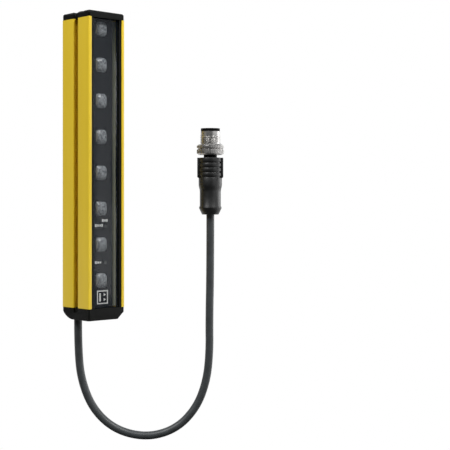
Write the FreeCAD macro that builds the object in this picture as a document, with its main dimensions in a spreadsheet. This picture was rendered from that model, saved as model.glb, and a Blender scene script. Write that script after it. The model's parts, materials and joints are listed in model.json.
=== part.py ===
import FreeCAD, Part
import math
import os
import re
import Sketcher

# Safety light curtain, emitter unit, on its lead with an M12 plug. Millimetres, +Z up.
# The window faces -Y. The origin is the centre of the flat back face.

Vector = FreeCAD.Vector
doc = FreeCAD.newDocument("light_curtain")

# ---------------------------------------------------------------- driving dimensions
dimensions = [
    # aluminium profile
    ("section_width", 26.0), ("section_depth", 26.0), ("corner_round", 0.6),
    ("lip_width", 2.0), ("ledge_width", 0.8), ("rear_wall", 1.6),
    ("groove_opening", 4.0), ("groove_lip", 1.4), ("groove_width", 7.2), ("groove_depth", 3.6),
    ("groove_wall", 1.2), ("groove_edge_bevel", 0.4), ("port_diameter", 1.7),
    ("port_front_inset", 6.4), ("port_front_side_inset", 2.1),
    ("port_rear_inset", 3.2), ("port_rear_side_inset", 2.4),
    # beams
    ("beam_count", 8), ("beam_pitch", 21.0), ("beam_top_margin", 5.8), ("beam_bottom_margin", 15.7),
    # window and its edge strips
    ("strip_recess", 0.4), ("strip_lip", 0.8), ("window_thickness", 2.0), ("strip_base", 0.6),
    ("strip_cover", 1.7), ("window_grip", 0.9), ("barb_depth", 0.5), ("barb_height", 1.0),
    ("barb_setback", 1.0),
    # lens carrier, lenses and beam LEDs
    ("carrier_thickness", 2.2), ("carrier_clearance", 0.05), ("end_clearance", 0.4),
    ("lens_height", 8.3), ("lens_width", 7.6), ("lens_round", 10.6), ("lens_seat", 1.2), ("lens_proud", 1.15),
    ("lens_crown", 0.95), ("lens_crown_radius", 10.7), ("lens_clearance", 0.06), ("lens_gap", 0.35),
    ("tube_bore", 6.2), ("tube_wall", 0.9), ("tube_gap", 0.8),
    ("led_diameter", 5.0), ("led_flange", 5.6), ("led_flange_height", 0.8), ("led_length", 5.2),
    ("led_bevel", 1.4),
    # circuit board and what it carries
    ("board_thickness", 1.6), ("board_clearance", 0.1), ("slot_depth", 2.5),
    ("board_top_gap", 2.0), ("board_bottom_gap", 2.2),
    ("chip_size", 7.0), ("chip_height", 1.2), ("solder_gap", 0.1),
    ("capacitor_diameter", 4.0), ("capacitor_clearance", 1.25),
    ("light_diameter", 2.0), ("light_spread", 3.4), ("status_led_width", 1.6),
    ("status_led_height", 0.9), ("header_width", 9.0), ("header_depth", 4.2), ("header_height", 4.0),
    ("header_clearance", 0.4),
    # caps, gaskets and screws
    ("gasket_thickness", 0.4), ("gasket_margin", 3.6), ("top_cap_height", 3.4),
    ("bottom_cap_height", 6.5), ("cap_notch_depth", 1.8), ("bottom_notch_height", 2.4),
    ("cap_edge_round", 1.3), ("cap_corner_round", 1.2), ("cap_bevel_across", 5.0),
    ("cap_bevel_up", 4.6), ("rear_round_across", 10.8), ("rear_round_up", 5.5),
    ("spigot_height", 1.2), ("spigot_clearance", 0.6), ("spigot_front_gap", 1.2),
    ("spigot_rear_gap", 0.8),
    ("screw_diameter", 1.6), ("screw_length", 9.0), ("screw_head_diameter", 3.4),
    ("screw_head_height", 1.2), ("screw_seat", 1.2), ("screw_clearance", 0.15),
    ("screw_slot_width", 0.5), ("screw_slot_depth", 0.6),
    # lead and grommet
    ("lead_diameter", 4.7), ("exit_side_inset", 6.3), ("exit_rear_inset", 7.0),
    ("lead_plane_angle", -43.7),
    ("grommet_wall", 1.0), ("grommet_flange", 1.0), ("grommet_flange_height", 1.2),
    ("core_count", 4), ("core_diameter", 0.8), ("core_ring", 2.5),
    # M12 plug
    ("plug_offset", 77.9), ("plug_bottom_height", -28.4),
    ("relief_diameter", 13.3), ("relief_tip_diameter", 9.7), ("relief_height", 4.2),
    ("relief_edge", 0.5), ("relief_step", 0.9),
    ("shaft_diameter", 12.4), ("shaft_height", 9.2), ("shoulder_diameter", 13.8),
    ("shoulder_height", 7.4), ("taper_height", 4.4), ("grip_height", 12.6), ("grip_width", 15.3),
    ("grip_rib", 1.7), ("grip_depth", 5.0), ("grip_ring_count", 4), ("grip_ring_pitch", 2.8),
    ("grip_ring_cut", 0.45), ("grip_ring_height", 1.0), ("grip_ring_inset", 0.8),
    ("neck_diameter", 7.8), ("neck_gap", 1.7), ("neck_socket_depth", 4.0),
    ("nut_diameter", 16.1), ("nut_height", 6.2), ("nut_bevel", 0.8), ("nut_groove", 0.5),
    ("nut_groove_rise", 3.6), ("knurl_count", 30), ("knurl_width", 1.0), ("knurl_depth", 0.35),
    ("nut_floor", 1.4),
    ("thread_diameter", 12.0), ("thread_length", 5.6), ("collar_diameter", 11.4),
    ("collar_length", 2.0), ("running_clearance", 0.05), ("rim_gap", 0.15),
    ("barrel_diameter", 9.8), ("rim_diameter", 11.2), ("rim_height", 1.6),
    ("mouth_diameter", 8.4), ("mouth_depth", 8.0), ("key_width", 1.0), ("key_height", 0.7),
    ("key_root", 0.3), ("pin_count", 4), ("pin_diameter", 1.0), ("pin_ring", 5.6), ("pin_inset", 1.5),
    ("pin_clearance", 0.03), ("pin_root", 4.0), ("pin_tip", 0.5), ("pin_tip_diameter", 0.4),
]

sheet = doc.addObject("Spreadsheet::Sheet", "Sizes")
for row, (alias, value) in enumerate(dimensions, start=1):
    sheet.set(f"A{row}", alias)
    sheet.set(f"B{row}", str(value))
    sheet.setAlias(f"B{row}", alias)
doc.recompute()


def named(text):
    """Puts the sheet's name before every alias in an expression."""
    aliases = {alias for alias, _ in dimensions}
    return re.sub(r"[a-z_]+", lambda word: "Sizes." + word[0] if word[0] in aliases else word[0], text)


def number(text):
    """The value of an expression over the sheet."""
    return float(sheet.evalExpression(named(text)))


def bind(target, **sizes):
    """Binds properties to expressions; a double underscore stands for a dot."""
    for name, text in sizes.items():
        target.setExpression(name.replace("__", "."), named(text))


# ---------------------------------------------------------------- places shared by the pieces
half = "(section_width / 2)"
front = "(0 - section_depth)"
groove_y = "(0 - section_depth / 2)"
lip_x = f"({half} - lip_width)"
barb_x = f"({lip_x} + barb_depth)"
barb_front = f"({front} + strip_recess + barb_setback)"
barb_back = f"({barb_front} + barb_height)"
window_front = f"({front} + strip_recess + strip_lip)"
window_back = f"({window_front} + window_thickness)"
shelf_y = f"({window_back} + strip_base)"
core_x = f"({half} - groove_depth - groove_wall)"
channel_x = f"({core_x} + ledge_width)"
lens_rim_y = f"({window_back} + lens_gap + lens_crown)"
carrier_front = f"({lens_rim_y} + lens_proud)"
ledge_y = f"({carrier_front} + carrier_thickness)"
slot_front = f"({groove_y} + groove_width / 2 + groove_wall)"
slot_back = f"({slot_front} + board_thickness + board_clearance)"
slot_x = f"({core_x} + slot_depth)"
back_inner = "(0 - rear_wall)"

profile_length = "(beam_top_margin + (beam_count - 1) * beam_pitch + beam_bottom_margin)"
overall_length = f"({profile_length} + 2 * gasket_thickness + top_cap_height + bottom_cap_height)"
lowest_z = f"(0 - {overall_length} / 2)"
profile_bottom = f"({lowest_z} + bottom_cap_height + gasket_thickness)"
profile_top = f"({profile_bottom} + {profile_length})"
highest_z = f"({profile_top} + gasket_thickness + top_cap_height)"
top_beam_z = f"({profile_top} - beam_top_margin)"

lens_seat_y = f"({carrier_front} + lens_seat)"
board_front = f"({slot_front} + board_clearance / 2)"
board_back = f"({board_front} + board_thickness)"
exit_x = f"(exit_side_inset - {half})"
exit_y = "(0 - exit_rear_inset)"

screw_places = [
    (f"({half} - port_front_side_inset)", f"({front} + port_front_inset)"),
    (f"({half} - port_rear_side_inset)", "(0 - port_rear_inset)"),
    (f"(port_rear_side_inset - {half})", "(0 - port_rear_inset)"),
    (f"(port_front_side_inset - {half})", f"({front} + port_front_inset)"),
]


# ---------------------------------------------------------------- modelling helpers
def new_body(name):
    made = doc.addObject("PartDesign::Body", name)
    made.Label = name
    return made


def origin_of(body, role):
    return next(item for item in body.Origin.OriginFeatures if item.Role == role)


def new_sketch(body, name, plane, offset="0"):
    sketch = body.newObject("Sketcher::SketchObject", name)
    sketch.AttachmentSupport = [(origin_of(body, plane), "")]
    sketch.MapMode = "FlatFace"
    if offset != "0":
        bind(sketch, AttachmentOffset__Base__z=offset)
    return sketch


def pin_point(sketch, shape, point, place):
    """Ties a point of a sketch to two expressions measured from the origin."""
    for kind, axis, text in (("DistanceX", -2, place[0]), ("DistanceY", -1, place[1])):
        if abs(number(text)) < 1e-9:
            sketch.addConstraint(Sketcher.Constraint("PointOnObject", shape, point, axis))
        else:
            rule = sketch.addConstraint(
                Sketcher.Constraint(kind, -1, 1, shape, point, number(text)))
            sketch.setExpression(f"Constraints[{rule}]", named(text))


def add_outline(sketch, corners):
    """Adds one closed outline of straight lines."""
    first = sketch.GeometryCount
    values = [Vector(number(x), number(y), 0) for x, y in corners]
    for start, end in zip(values, values[1:] + values[:1]):
        sketch.addGeometry(Part.LineSegment(start, end), False)
    for step, corner in enumerate(corners):
        after = first + (step + 1) % len(corners)
        sketch.addConstraint(Sketcher.Constraint("Coincident", first + step, 2, after, 1))
    for step, corner in enumerate(corners):
        pin_point(sketch, first + step, 1, corner)


def add_rectangle(sketch, left, right, low, high):
    add_outline(sketch, [(left, low), (right, low), (right, high), (left, high)])


def add_circle(sketch, x, y, diameter):
    centre = Vector(number(x), number(y), 0)
    circle = sketch.addGeometry(
        Part.Circle(centre, Vector(0, 0, 1), number(diameter) / 2), False)
    rule = sketch.addConstraint(Sketcher.Constraint("Diameter", circle, number(diameter)))
    sketch.setExpression(f"Constraints[{rule}]", named(diameter))
    pin_point(sketch, circle, 3, (x, y))


def flipped(points):
    """The same points on the other side of the middle, in reverse order."""
    return [(f"(0 - {x})", y) for x, y in reversed(points)]


def add_arc_corner(sketch, start, level, rise, radius):
    """A corner to cut off at 0: along the level from the start, up by the rise, back on an arc."""
    low = Vector(number(start), number(level), 0)
    high = Vector(0, number(level) + number(rise), 0)
    corner = Vector(0, number(level), 0)
    centre = low + Vector(0, number(radius), 0)
    end_turn = math.atan2(high.y - centre.y, high.x - centre.x)
    sketch.addGeometry([Part.LineSegment(low, corner), Part.LineSegment(corner, high)], False)
    sketch.addGeometry(Part.ArcOfCircle(Part.Circle(centre, Vector(0, 0, 1), number(radius)),
                                        -math.pi / 2, end_turn), False)
    for first, end, second, begin in ((0, 2, 1, 1), (1, 2, 2, 2)):
        sketch.addConstraint(Sketcher.Constraint("Coincident", first, end, second, begin))
    sketch.addConstraint(Sketcher.Constraint("Tangent", 2, 1, 0, 1))
    pin_point(sketch, 0, 1, (start, level))
    pin_point(sketch, 0, 2, ("0", level))
    pin_point(sketch, 1, 2, ("0", f"({level} + {rise})"))


def pad(body, name, sketch, length, reverse=False):
    made = body.newObject("PartDesign::Pad", name)
    made.Profile = sketch
    bind(made, Length=length)
    made.Reversed = reverse
    doc.recompute()
    return made


def pocket(body, name, sketch, length=None, reverse=False):
    before = body.Shape.Volume
    made = body.newObject("PartDesign::Pocket", name)
    made.Profile = sketch
    if length is None:
        made.Type = "ThroughAll"
        made.Midplane = True
    else:
        bind(made, Length=length)
        made.Reversed = reverse
    doc.recompute()
    if not body.Shape.Volume < before - 1e-6:
        raise RuntimeError(f"{name} cuts nothing")
    return made


def revolve(body, name, sketch):
    made = body.newObject("PartDesign::Revolution", name)
    made.Profile = sketch
    made.ReferenceAxis = (sketch, ["V_Axis"])
    made.Angle = 360
    doc.recompute()
    return made


def beam_rows(body, name, feature):
    """Repeats a feature down the beam positions, from the top one."""
    made = body.newObject("PartDesign::LinearPattern", name)
    made.Originals = [feature]
    made.Direction = (origin_of(body, "Z_Axis"), [""])
    made.Reversed = True
    bind(made, Length="(beam_count - 1) * beam_pitch", Occurrences="beam_count")
    body.Tip = made
    doc.recompute()
    return made


def edges_where(shape, test):
    return [f"Edge{i}" for i, edge in enumerate(shape.Edges, start=1) if test(edge)]


def is_upright(edge, x, y):
    """Whether an edge runs along Z through the point x, y."""
    ends = [vertex.Point for vertex in edge.Vertexes]
    return len(ends) == 2 and all(math.hypot(p.x - x, p.y - y) < 1e-4 for p in ends)


def fillet_edges(body, name, edges, radius):
    """Rounds the named edges of the body's last feature."""
    before = body.Tip
    made = body.newObject("PartDesign::Fillet", name)
    made.Base = (before, edges)
    bind(made, Radius=radius)
    body.Tip = made
    doc.recompute()
    return made


def round_outer_corners(body, name, feature, radius):
    """Rounds the four upright edges at the corners of the bar's section."""
    corners = [(side * number(half), y) for side in (-1, 1) for y in (0.0, number(front))]
    fillet_edges(body, name,
                 edges_where(feature.Shape,
                             lambda edge: any(is_upright(edge, x, y) for x, y in corners)), radius)


def box(name, x, y, z):
    """A box between three pairs of expressions (low, high)."""
    made = doc.addObject("Part::Box", name)
    made.Label = name
    bind(made, Length=f"{x[1]} - {x[0]}", Width=f"{y[1]} - {y[0]}", Height=f"{z[1]} - {z[0]}",
         Placement__Base__x=x[0], Placement__Base__y=y[0], Placement__Base__z=z[0])
    return made


def rod(name, diameter, length, x, y, z, along="+Z"):
    """A cylinder from a base point along +Z, or along -Y towards the front."""
    made = doc.addObject("Part::Cylinder", name)
    made.Label = name
    if along == "-Y":
        made.Placement = FreeCAD.Placement(Vector(0, 0, 0), FreeCAD.Rotation(Vector(1, 0, 0), 90))
    bind(made, Radius=f"{diameter} / 2", Height=length,
         Placement__Base__x=x, Placement__Base__y=y, Placement__Base__z=z)
    return made


def ball(name, radius, x, y, z):
    made = doc.addObject("Part::Sphere", name)
    bind(made, Radius=radius, Placement__Base__x=x, Placement__Base__y=y, Placement__Base__z=z)
    return made


def tip(name, base_diameter, end_diameter, length, x, y, z, along="+Z"):
    """A cone that ends a rod, from a base point along +Z, or along -Y towards the front."""
    made = doc.addObject("Part::Cone", name)
    if along == "-Y":
        made.Placement = FreeCAD.Placement(Vector(0, 0, 0), FreeCAD.Rotation(Vector(1, 0, 0), 90))
    bind(made, Radius1=f"{base_diameter} / 2", Radius2=f"{end_diameter} / 2", Height=length,
         Placement__Base__x=x, Placement__Base__y=y, Placement__Base__z=z)
    return made


def combine(kind, name, *shapes):
    """Part::Cut of two shapes, or Part::MultiFuse, Part::MultiCommon or Part::Compound of several."""
    made = doc.addObject(kind, name)
    made.Label = name
    if kind == "Part::Cut":
        made.Base, made.Tool = shapes
    elif kind == "Part::Compound":
        made.Links = list(shapes)
    else:
        made.Shapes = list(shapes)
    return made


nodes = []


def keep(made):
    """Marks a finished sub-part, whose label is the name of its file."""
    nodes.append(made)
    return made


# ---------------------------------------------------------------- extruded profile
bevel_in = f"({half} - groove_edge_bevel)"
groove_half = "(groove_opening / 2)"
groove_steps = [
    (half, f"({groove_y} - {groove_half} - groove_edge_bevel)"),
    (bevel_in, f"({groove_y} - {groove_half})"),
    (f"({half} - groove_lip)", f"({groove_y} - {groove_half})"),
    (f"({half} - groove_lip)", f"({groove_y} - groove_width / 2)"),
    (f"({half} - groove_depth)", f"({groove_y} - groove_width / 2)"),
    (f"({half} - groove_depth)", f"({groove_y} + groove_width / 2)"),
    (f"({half} - groove_lip)", f"({groove_y} + groove_width / 2)"),
    (f"({half} - groove_lip)", f"({groove_y} + {groove_half})"),
    (bevel_in, f"({groove_y} + {groove_half})"),
    (half, f"({groove_y} + {groove_half} + groove_edge_bevel)"),
]
inner_steps = [
    (core_x, back_inner), (core_x, slot_back), (slot_x, slot_back), (slot_x, slot_front),
    (core_x, slot_front), (core_x, ledge_y), (channel_x, ledge_y), (channel_x, shelf_y),
    (lip_x, shelf_y), (lip_x, barb_back), (barb_x, barb_back), (barb_x, barb_front),
    (lip_x, barb_front), (lip_x, front),
]
outer_steps = [(half, front)] + groove_steps + [(half, "0")]
profile_outline = outer_steps + flipped(outer_steps) + flipped(inner_steps) + inner_steps

housing = keep(new_body("profile_housing"))
section = new_sketch(housing, "profile_section", "XY_Plane", profile_bottom)
add_outline(section, profile_outline)
profile_pad = pad(housing, "profile_extrusion", section, profile_length)
round_outer_corners(housing, "profile_corner_rounds", profile_pad, "corner_round")
ports = new_sketch(housing, "screw_ports", "XY_Plane", profile_bottom)
for place_x, place_y in screw_places:
    add_circle(ports, place_x, place_y, "port_diameter")
pocket(housing, "screw_port_holes", ports)

# ---------------------------------------------------------------- window and edge strips
strip_inner = f"({lip_x} - strip_cover)"
window_edge = f"({strip_inner} + window_grip)"
window = keep(box("front_window", (f"(0 - {window_edge})", window_edge),
                  (window_front, window_back), (profile_bottom, profile_top)))


def edge_strip(name, side):
    """A rubber strip of channel section, barbed into the profile and gripping the window."""
    body = keep(new_body(name))
    sketch = new_sketch(body, name + "_section", "XY_Plane", profile_bottom)
    strip_front = f"({front} + strip_recess)"
    corners = [
        (strip_inner, strip_front), (lip_x, strip_front), (lip_x, barb_front),
        (barb_x, barb_front), (barb_x, barb_back), (lip_x, barb_back), (lip_x, shelf_y),
        (strip_inner, shelf_y), (strip_inner, window_back), (window_edge, window_back),
        (window_edge, window_front), (strip_inner, window_front),
    ]
    if side < 0:
        corners = flipped(corners)
    add_outline(sketch, corners)
    pad(body, name + "_extrusion", sketch, profile_length)


edge_strip("window_strip_left", -1)
edge_strip("window_strip_right", 1)

# ---------------------------------------------------------------- lens carrier
tube_outer = "(tube_bore + 2 * tube_wall)"
tube_back = f"({board_front} - tube_gap)"
carrier_half = f"({channel_x} - carrier_clearance)"


def between_beams(upper):
    """Half way from a beam, counted from 0 at the top, down to the next one."""
    return f"({top_beam_z} - ({upper} + 0.5) * beam_pitch)"


mark_light_z = between_beams("beam_count - 3")
power_light_z = between_beams("beam_count - 2")
light_places = [
    ("(0 - light_spread)", mark_light_z), ("light_spread", mark_light_z),
    ("light_spread", power_light_z),
]
carrier = keep(new_body("lens_carrier"))
plate = new_sketch(carrier, "carrier_plate_outline", "XZ_Plane", f"(0 - {ledge_y})")
add_rectangle(plate, f"(0 - {carrier_half})", carrier_half,
              f"({profile_bottom} + end_clearance)", f"({profile_top} - end_clearance)")
pad(carrier, "carrier_plate", plate, "carrier_thickness")
tube = new_sketch(carrier, "tube_outline", "XZ_Plane", f"(0 - {ledge_y})")
add_circle(tube, "0", top_beam_z, tube_outer)
tube_pad = pad(carrier, "aperture_tube", tube, f"{tube_back} - {ledge_y}", reverse=True)
beam_rows(carrier, "aperture_tubes", tube_pad)
seat_half = "(lens_width / 2 + lens_clearance)"
seat_rise = "(lens_height / 2 + lens_clearance)"
seat = new_sketch(carrier, "lens_seat_outline", "XZ_Plane", f"(0 - {carrier_front})")
add_rectangle(seat, f"(0 - {seat_half})", seat_half, f"({top_beam_z} - {seat_rise})",
              f"({top_beam_z} + {seat_rise})")
seat_pocket = pocket(carrier, "lens_seat_pocket", seat, "lens_seat")
beam_rows(carrier, "lens_seat_pockets", seat_pocket)
bore = new_sketch(carrier, "aperture_outline", "XZ_Plane", f"(0 - {carrier_front})")
add_circle(bore, "0", top_beam_z, "tube_bore")
bore_pocket = pocket(carrier, "aperture_bore", bore, f"{tube_back} - {carrier_front}")
beam_rows(carrier, "aperture_bores", bore_pocket)
light_holes = new_sketch(carrier, "light_hole_outlines", "XZ_Plane", f"(0 - {carrier_front})")
for place_x, place_z in light_places:
    add_circle(light_holes, place_x, place_z, "light_diameter + 2 * carrier_clearance")
pocket(carrier, "light_holes", light_holes, "carrier_thickness")

# ---------------------------------------------------------------- lenses and beam LEDs
beam_total = int(round(number("beam_count")))
for beam in range(beam_total):
    beam_z = f"({top_beam_z} - {beam} * beam_pitch)"
    tag = str(beam + 1)
    barrel = rod("lens_barrel_" + tag, "lens_round", f"{lens_seat_y} - {lens_rim_y} + lens_crown",
                 "0", lens_seat_y, beam_z, along="-Y")
    flats = box("lens_flats_" + tag, ("(0 - lens_width / 2)", "(lens_width / 2)"),
                (f"({lens_rim_y} - lens_crown)", lens_seat_y),
                (f"({beam_z} - lens_height / 2)", f"({beam_z} + lens_height / 2)"))
    crown = ball("lens_crown_" + tag, "lens_crown_radius", "0",
                 f"({lens_rim_y} - lens_crown + lens_crown_radius)", beam_z)
    keep(combine("Part::MultiCommon", "lens_" + tag, barrel, flats, crown))

for beam in range(beam_total):
    beam_z = f"({top_beam_z} - {beam} * beam_pitch)"
    tag = str(beam + 1)
    flange = rod("led_flange_" + tag, "led_flange", "led_flange_height", "0",
                 f"({board_front} - solder_gap)", beam_z, along="-Y")
    stem = rod("led_stem_" + tag, "led_diameter", "led_length - led_bevel", "0",
               f"({board_front} - solder_gap)", beam_z, along="-Y")
    nose = tip("led_nose_" + tag, "led_diameter", "(led_diameter - 2 * led_bevel)", "led_bevel",
               "0", f"({board_front} - solder_gap - led_length + led_bevel)", beam_z, along="-Y")
    keep(combine("Part::MultiFuse", "beam_led_" + tag, flange, stem, nose))

# ---------------------------------------------------------------- circuit board
board_low = f"({profile_bottom} + board_bottom_gap)"
board_high = f"({profile_top} - board_top_gap)"
board_half = f"({slot_x} - 2 * board_clearance)"
keep(box("circuit_board", (f"(0 - {board_half})", board_half), (board_front, board_back),
         (board_low, board_high)))


def chip(name, height_on_board):
    """A flat package on the back of the board, centred at a height."""
    low = f"({board_back} + solder_gap)"
    keep(box(name, ("(0 - chip_size / 2)", "(chip_size / 2)"), (low, f"({low} + chip_height)"),
             (f"({height_on_board} - chip_size / 2)", f"({height_on_board} + chip_size / 2)")))


chip("safety_chip_1", between_beams(1))
chip("safety_chip_2", between_beams(3))
chip("driver_chip", between_beams(2))
capacitor_top = f"({back_inner} - capacitor_clearance)"
for count, side in enumerate(("(0 - capacitor_diameter)", "capacitor_diameter"), start=1):
    keep(rod(f"capacitor_{count}", "capacitor_diameter",
             f"{capacitor_top} - {board_back} - solder_gap", side, capacitor_top, mark_light_z,
             along="-Y"))

status_top = f"({board_front} - solder_gap - status_led_height)"
for count, (place_x, place_z) in enumerate(light_places, start=1):
    keep(box(f"status_led_{count}",
             (f"({place_x} - status_led_width / 2)", f"({place_x} + status_led_width / 2)"),
             (status_top, f"({board_front} - solder_gap)"),
             (f"({place_z} - status_led_width / 2)", f"({place_z} + status_led_width / 2)")))
    keep(rod(f"status_light_{count}", "light_diameter",
             f"{status_top} - carrier_clearance - {carrier_front}", place_x,
             f"({status_top} - carrier_clearance)", place_z, along="-Y"))

header_high = f"({profile_bottom} + board_bottom_gap + header_height)"
header_left = f"(header_clearance - {core_x})"
header_right = f"({header_left} + header_width)"
header_back = f"({board_front} - solder_gap)"
header_front = f"({header_back} - header_depth)"
keep(box("wire_header", (header_left, header_right), (header_front, header_back),
         (board_low, header_high)))

# ---------------------------------------------------------------- end gaskets
notch_x = f"({half} - cap_notch_depth)"
notch_front = f"({groove_y} - {groove_half})"
notch_back = f"({groove_y} + {groove_half})"
end_side = [(half, front), (half, notch_front), (notch_x, notch_front), (notch_x, notch_back),
            (half, notch_back), (half, "0")]
end_outline = end_side + flipped(end_side)


def end_gasket(name, low):
    """A flat rubber gasket with the outline of the caps, cut out in the middle."""
    body = keep(new_body(name))
    sketch = new_sketch(body, name + "_outline", "XY_Plane", low)
    add_outline(sketch, end_outline)
    add_rectangle(sketch, f"(0 - {core_x})", core_x, f"({front} + gasket_margin)", back_inner)
    for place_x, place_y in screw_places:
        add_circle(sketch, place_x, place_y, "screw_diameter + 2 * screw_clearance")
    sheet_pad = pad(body, name + "_sheet", sketch, "gasket_thickness")
    round_outer_corners(body, name + "_corner_rounds", sheet_pad, "cap_corner_round")


end_gasket("top_gasket", profile_top)
end_gasket("bottom_gasket", f"({profile_bottom} - gasket_thickness)")

# ---------------------------------------------------------------- caps
top_cap_low = f"({profile_top} + gasket_thickness)"
bottom_cap_high = f"({profile_bottom} - gasket_thickness)"
spigot_half = f"({core_x} - spigot_clearance)"
spigot_front = f"({ledge_y} + spigot_front_gap)"
spigot_back = f"({back_inner} - spigot_rear_gap)"


def screw_holes(body, name, seat_level, upward):
    """Clearance holes and counterbores for the four screws, from the outer face of a cap."""
    through = new_sketch(body, name + "_clearance", "XY_Plane", seat_level)
    heads = new_sketch(body, name + "_heads", "XY_Plane", seat_level)
    for place_x, place_y in screw_places:
        add_circle(through, place_x, place_y, "screw_diameter + 2 * screw_clearance")
        add_circle(heads, place_x, place_y, "screw_head_diameter + 2 * screw_clearance")
    pocket(body, name + "_clearance_holes", through)
    pocket(body, name + "_counterbores", heads, "bottom_cap_height", reverse=upward)


top_cap = keep(new_body("top_cap"))
plate = new_sketch(top_cap, "top_cap_outline", "XY_Plane", top_cap_low)
add_outline(plate, end_outline)
top_plate = pad(top_cap, "top_cap_plate", plate, "top_cap_height")
round_outer_corners(top_cap, "top_cap_corner_rounds", top_plate, "cap_corner_round")
rim_level = number(highest_z)
fillet_edges(top_cap, "top_cap_edge_round",
             edges_where(top_cap.Shape, lambda edge: all(abs(v.Point.z - rim_level) < 1e-4
                                                         for v in edge.Vertexes)),
             "cap_edge_round")
spigot = new_sketch(top_cap, "top_spigot_outline", "XY_Plane", top_cap_low)
add_rectangle(spigot, f"(0 - {spigot_half})", spigot_half, spigot_front, spigot_back)
pad(top_cap, "top_spigot", spigot, "spigot_height + gasket_thickness", reverse=True)
screw_holes(top_cap, "top_screws", f"({top_cap_low} + screw_seat)", True)

bottom_cap = keep(new_body("bottom_cap"))
plate = new_sketch(bottom_cap, "bottom_cap_outline", "XY_Plane", lowest_z)
add_rectangle(plate, f"(0 - {half})", half, front, "0")
bottom_block = pad(bottom_cap, "bottom_cap_block", plate, "bottom_cap_height")
round_outer_corners(bottom_cap, "bottom_cap_corner_rounds", bottom_block, "cap_corner_round")
notches = new_sketch(bottom_cap, "bottom_cap_notches", "XY_Plane", bottom_cap_high)
for side in ("", "-1 * "):
    add_rectangle(notches, f"{side}{notch_x}", f"{side}({half} + cap_notch_depth)",
                  notch_front, notch_back)
pocket(bottom_cap, "bottom_cap_notch_cuts", notches, "bottom_notch_height")
side_bevel = new_sketch(bottom_cap, "side_bevel_outline", "XZ_Plane")
add_outline(side_bevel, [(f"({half} - cap_bevel_across)", lowest_z), (half, lowest_z),
                         (half, f"({lowest_z} + cap_bevel_up)")])
pocket(bottom_cap, "side_bevel", side_bevel)
rear_radius = "((rear_round_across ^ 2 + rear_round_up ^ 2) / (2 * rear_round_up))"
rear_round = new_sketch(bottom_cap, "rear_round_outline", "YZ_Plane")
add_arc_corner(rear_round, "(0 - rear_round_across)", lowest_z, "rear_round_up", rear_radius)
pocket(bottom_cap, "rear_round", rear_round)
spigot = new_sketch(bottom_cap, "bottom_spigot_outline", "XY_Plane", bottom_cap_high)
add_rectangle(spigot, f"(0 - {spigot_half})", spigot_half, spigot_front, spigot_back)
pad(bottom_cap, "bottom_spigot", spigot, "spigot_height + gasket_thickness")
screw_holes(bottom_cap, "bottom_screws", f"({bottom_cap_high} - screw_seat)", False)
grommet_outer = "(lead_diameter + 2 * grommet_wall)"
flange_outer = f"({grommet_outer} + 2 * grommet_flange)"
gland = new_sketch(bottom_cap, "gland_bore", "XY_Plane", lowest_z)
add_circle(gland, exit_x, exit_y, grommet_outer)
pocket(bottom_cap, "gland_hole", gland)
flange_low = f"({bottom_cap_high} - grommet_flange_height)"
spigot_top = f"({bottom_cap_high} + spigot_height + gasket_thickness)"
flange_seat = new_sketch(bottom_cap, "flange_seat", "XY_Plane", flange_low)
add_circle(flange_seat, exit_x, exit_y, flange_outer)
pocket(bottom_cap, "flange_recess", flange_seat, f"{spigot_top} - {flange_low}", reverse=True)
core_window = new_sketch(bottom_cap, "core_window_outline", "XY_Plane", bottom_cap_high)
add_rectangle(core_window, f"({exit_x} - {flange_outer} / 2)", header_right,
              header_front, f"({exit_y} + {flange_outer} / 2)")
pocket(bottom_cap, "core_window", core_window, f"{spigot_top} - {bottom_cap_high}", reverse=True)

# ---------------------------------------------------------------- cap screws
def cap_screws(name, seat_level, head_up):
    """Four screws whose heads stand on the seats of a cap, as one group."""
    made = []
    for count, (place_x, place_y) in enumerate(screw_places, start=1):
        tag = f"{name}_{count}"
        if head_up:
            head_low = seat_level
            shank_low = f"({seat_level} - screw_length)"
            slot_low = f"({seat_level} + screw_head_height - screw_slot_depth)"
        else:
            head_low = f"({seat_level} - screw_head_height)"
            shank_low = seat_level
            slot_low = f"({seat_level} - screw_head_height)"
        head = rod(tag + "_head", "screw_head_diameter", "screw_head_height",
                   place_x, place_y, head_low)
        shank = rod(tag + "_shank", "screw_diameter", "screw_length", place_x, place_y, shank_low)
        whole = combine("Part::MultiFuse", tag + "_blank", head, shank)
        reach = "screw_head_diameter / 3"
        slots = []
        for way, (wide, deep) in enumerate(((reach, "screw_slot_width / 2"),
                                            ("screw_slot_width / 2", reach))):
            slots.append(box(f"{tag}_slot_{way}", (f"({place_x} - {wide})", f"({place_x} + {wide})"),
                             (f"({place_y} - {deep})", f"({place_y} + {deep})"),
                             (slot_low, f"({slot_low} + screw_slot_depth)")))
        cross = combine("Part::MultiFuse", tag + "_cross", *slots)
        made.append(combine("Part::Cut", tag, whole, cross))
    keep(combine("Part::Compound", name, *made))


cap_screws("top_cap_screws", f"({top_cap_low} + screw_seat)", True)
cap_screws("bottom_cap_screws", f"({bottom_cap_high} - screw_seat)", False)

# ---------------------------------------------------------------- grommet and the lead's inner end
grommet_length = f"{bottom_cap_high} - {lowest_z}"
sleeve = rod("grommet_sleeve", grommet_outer, grommet_length, exit_x, exit_y, lowest_z)
collar = rod("grommet_collar", flange_outer, "grommet_flange_height", exit_x, exit_y, flange_low)
grommet_hole = rod("grommet_hole", "lead_diameter", grommet_length, exit_x, exit_y, lowest_z)
grommet_blank = combine("Part::MultiFuse", "grommet_blank", sleeve, collar)
keep(combine("Part::Cut", "lead_grommet", grommet_blank, grommet_hole))
keep(rod("sheath_end", "lead_diameter", grommet_length, exit_x, exit_y, lowest_z))

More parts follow.
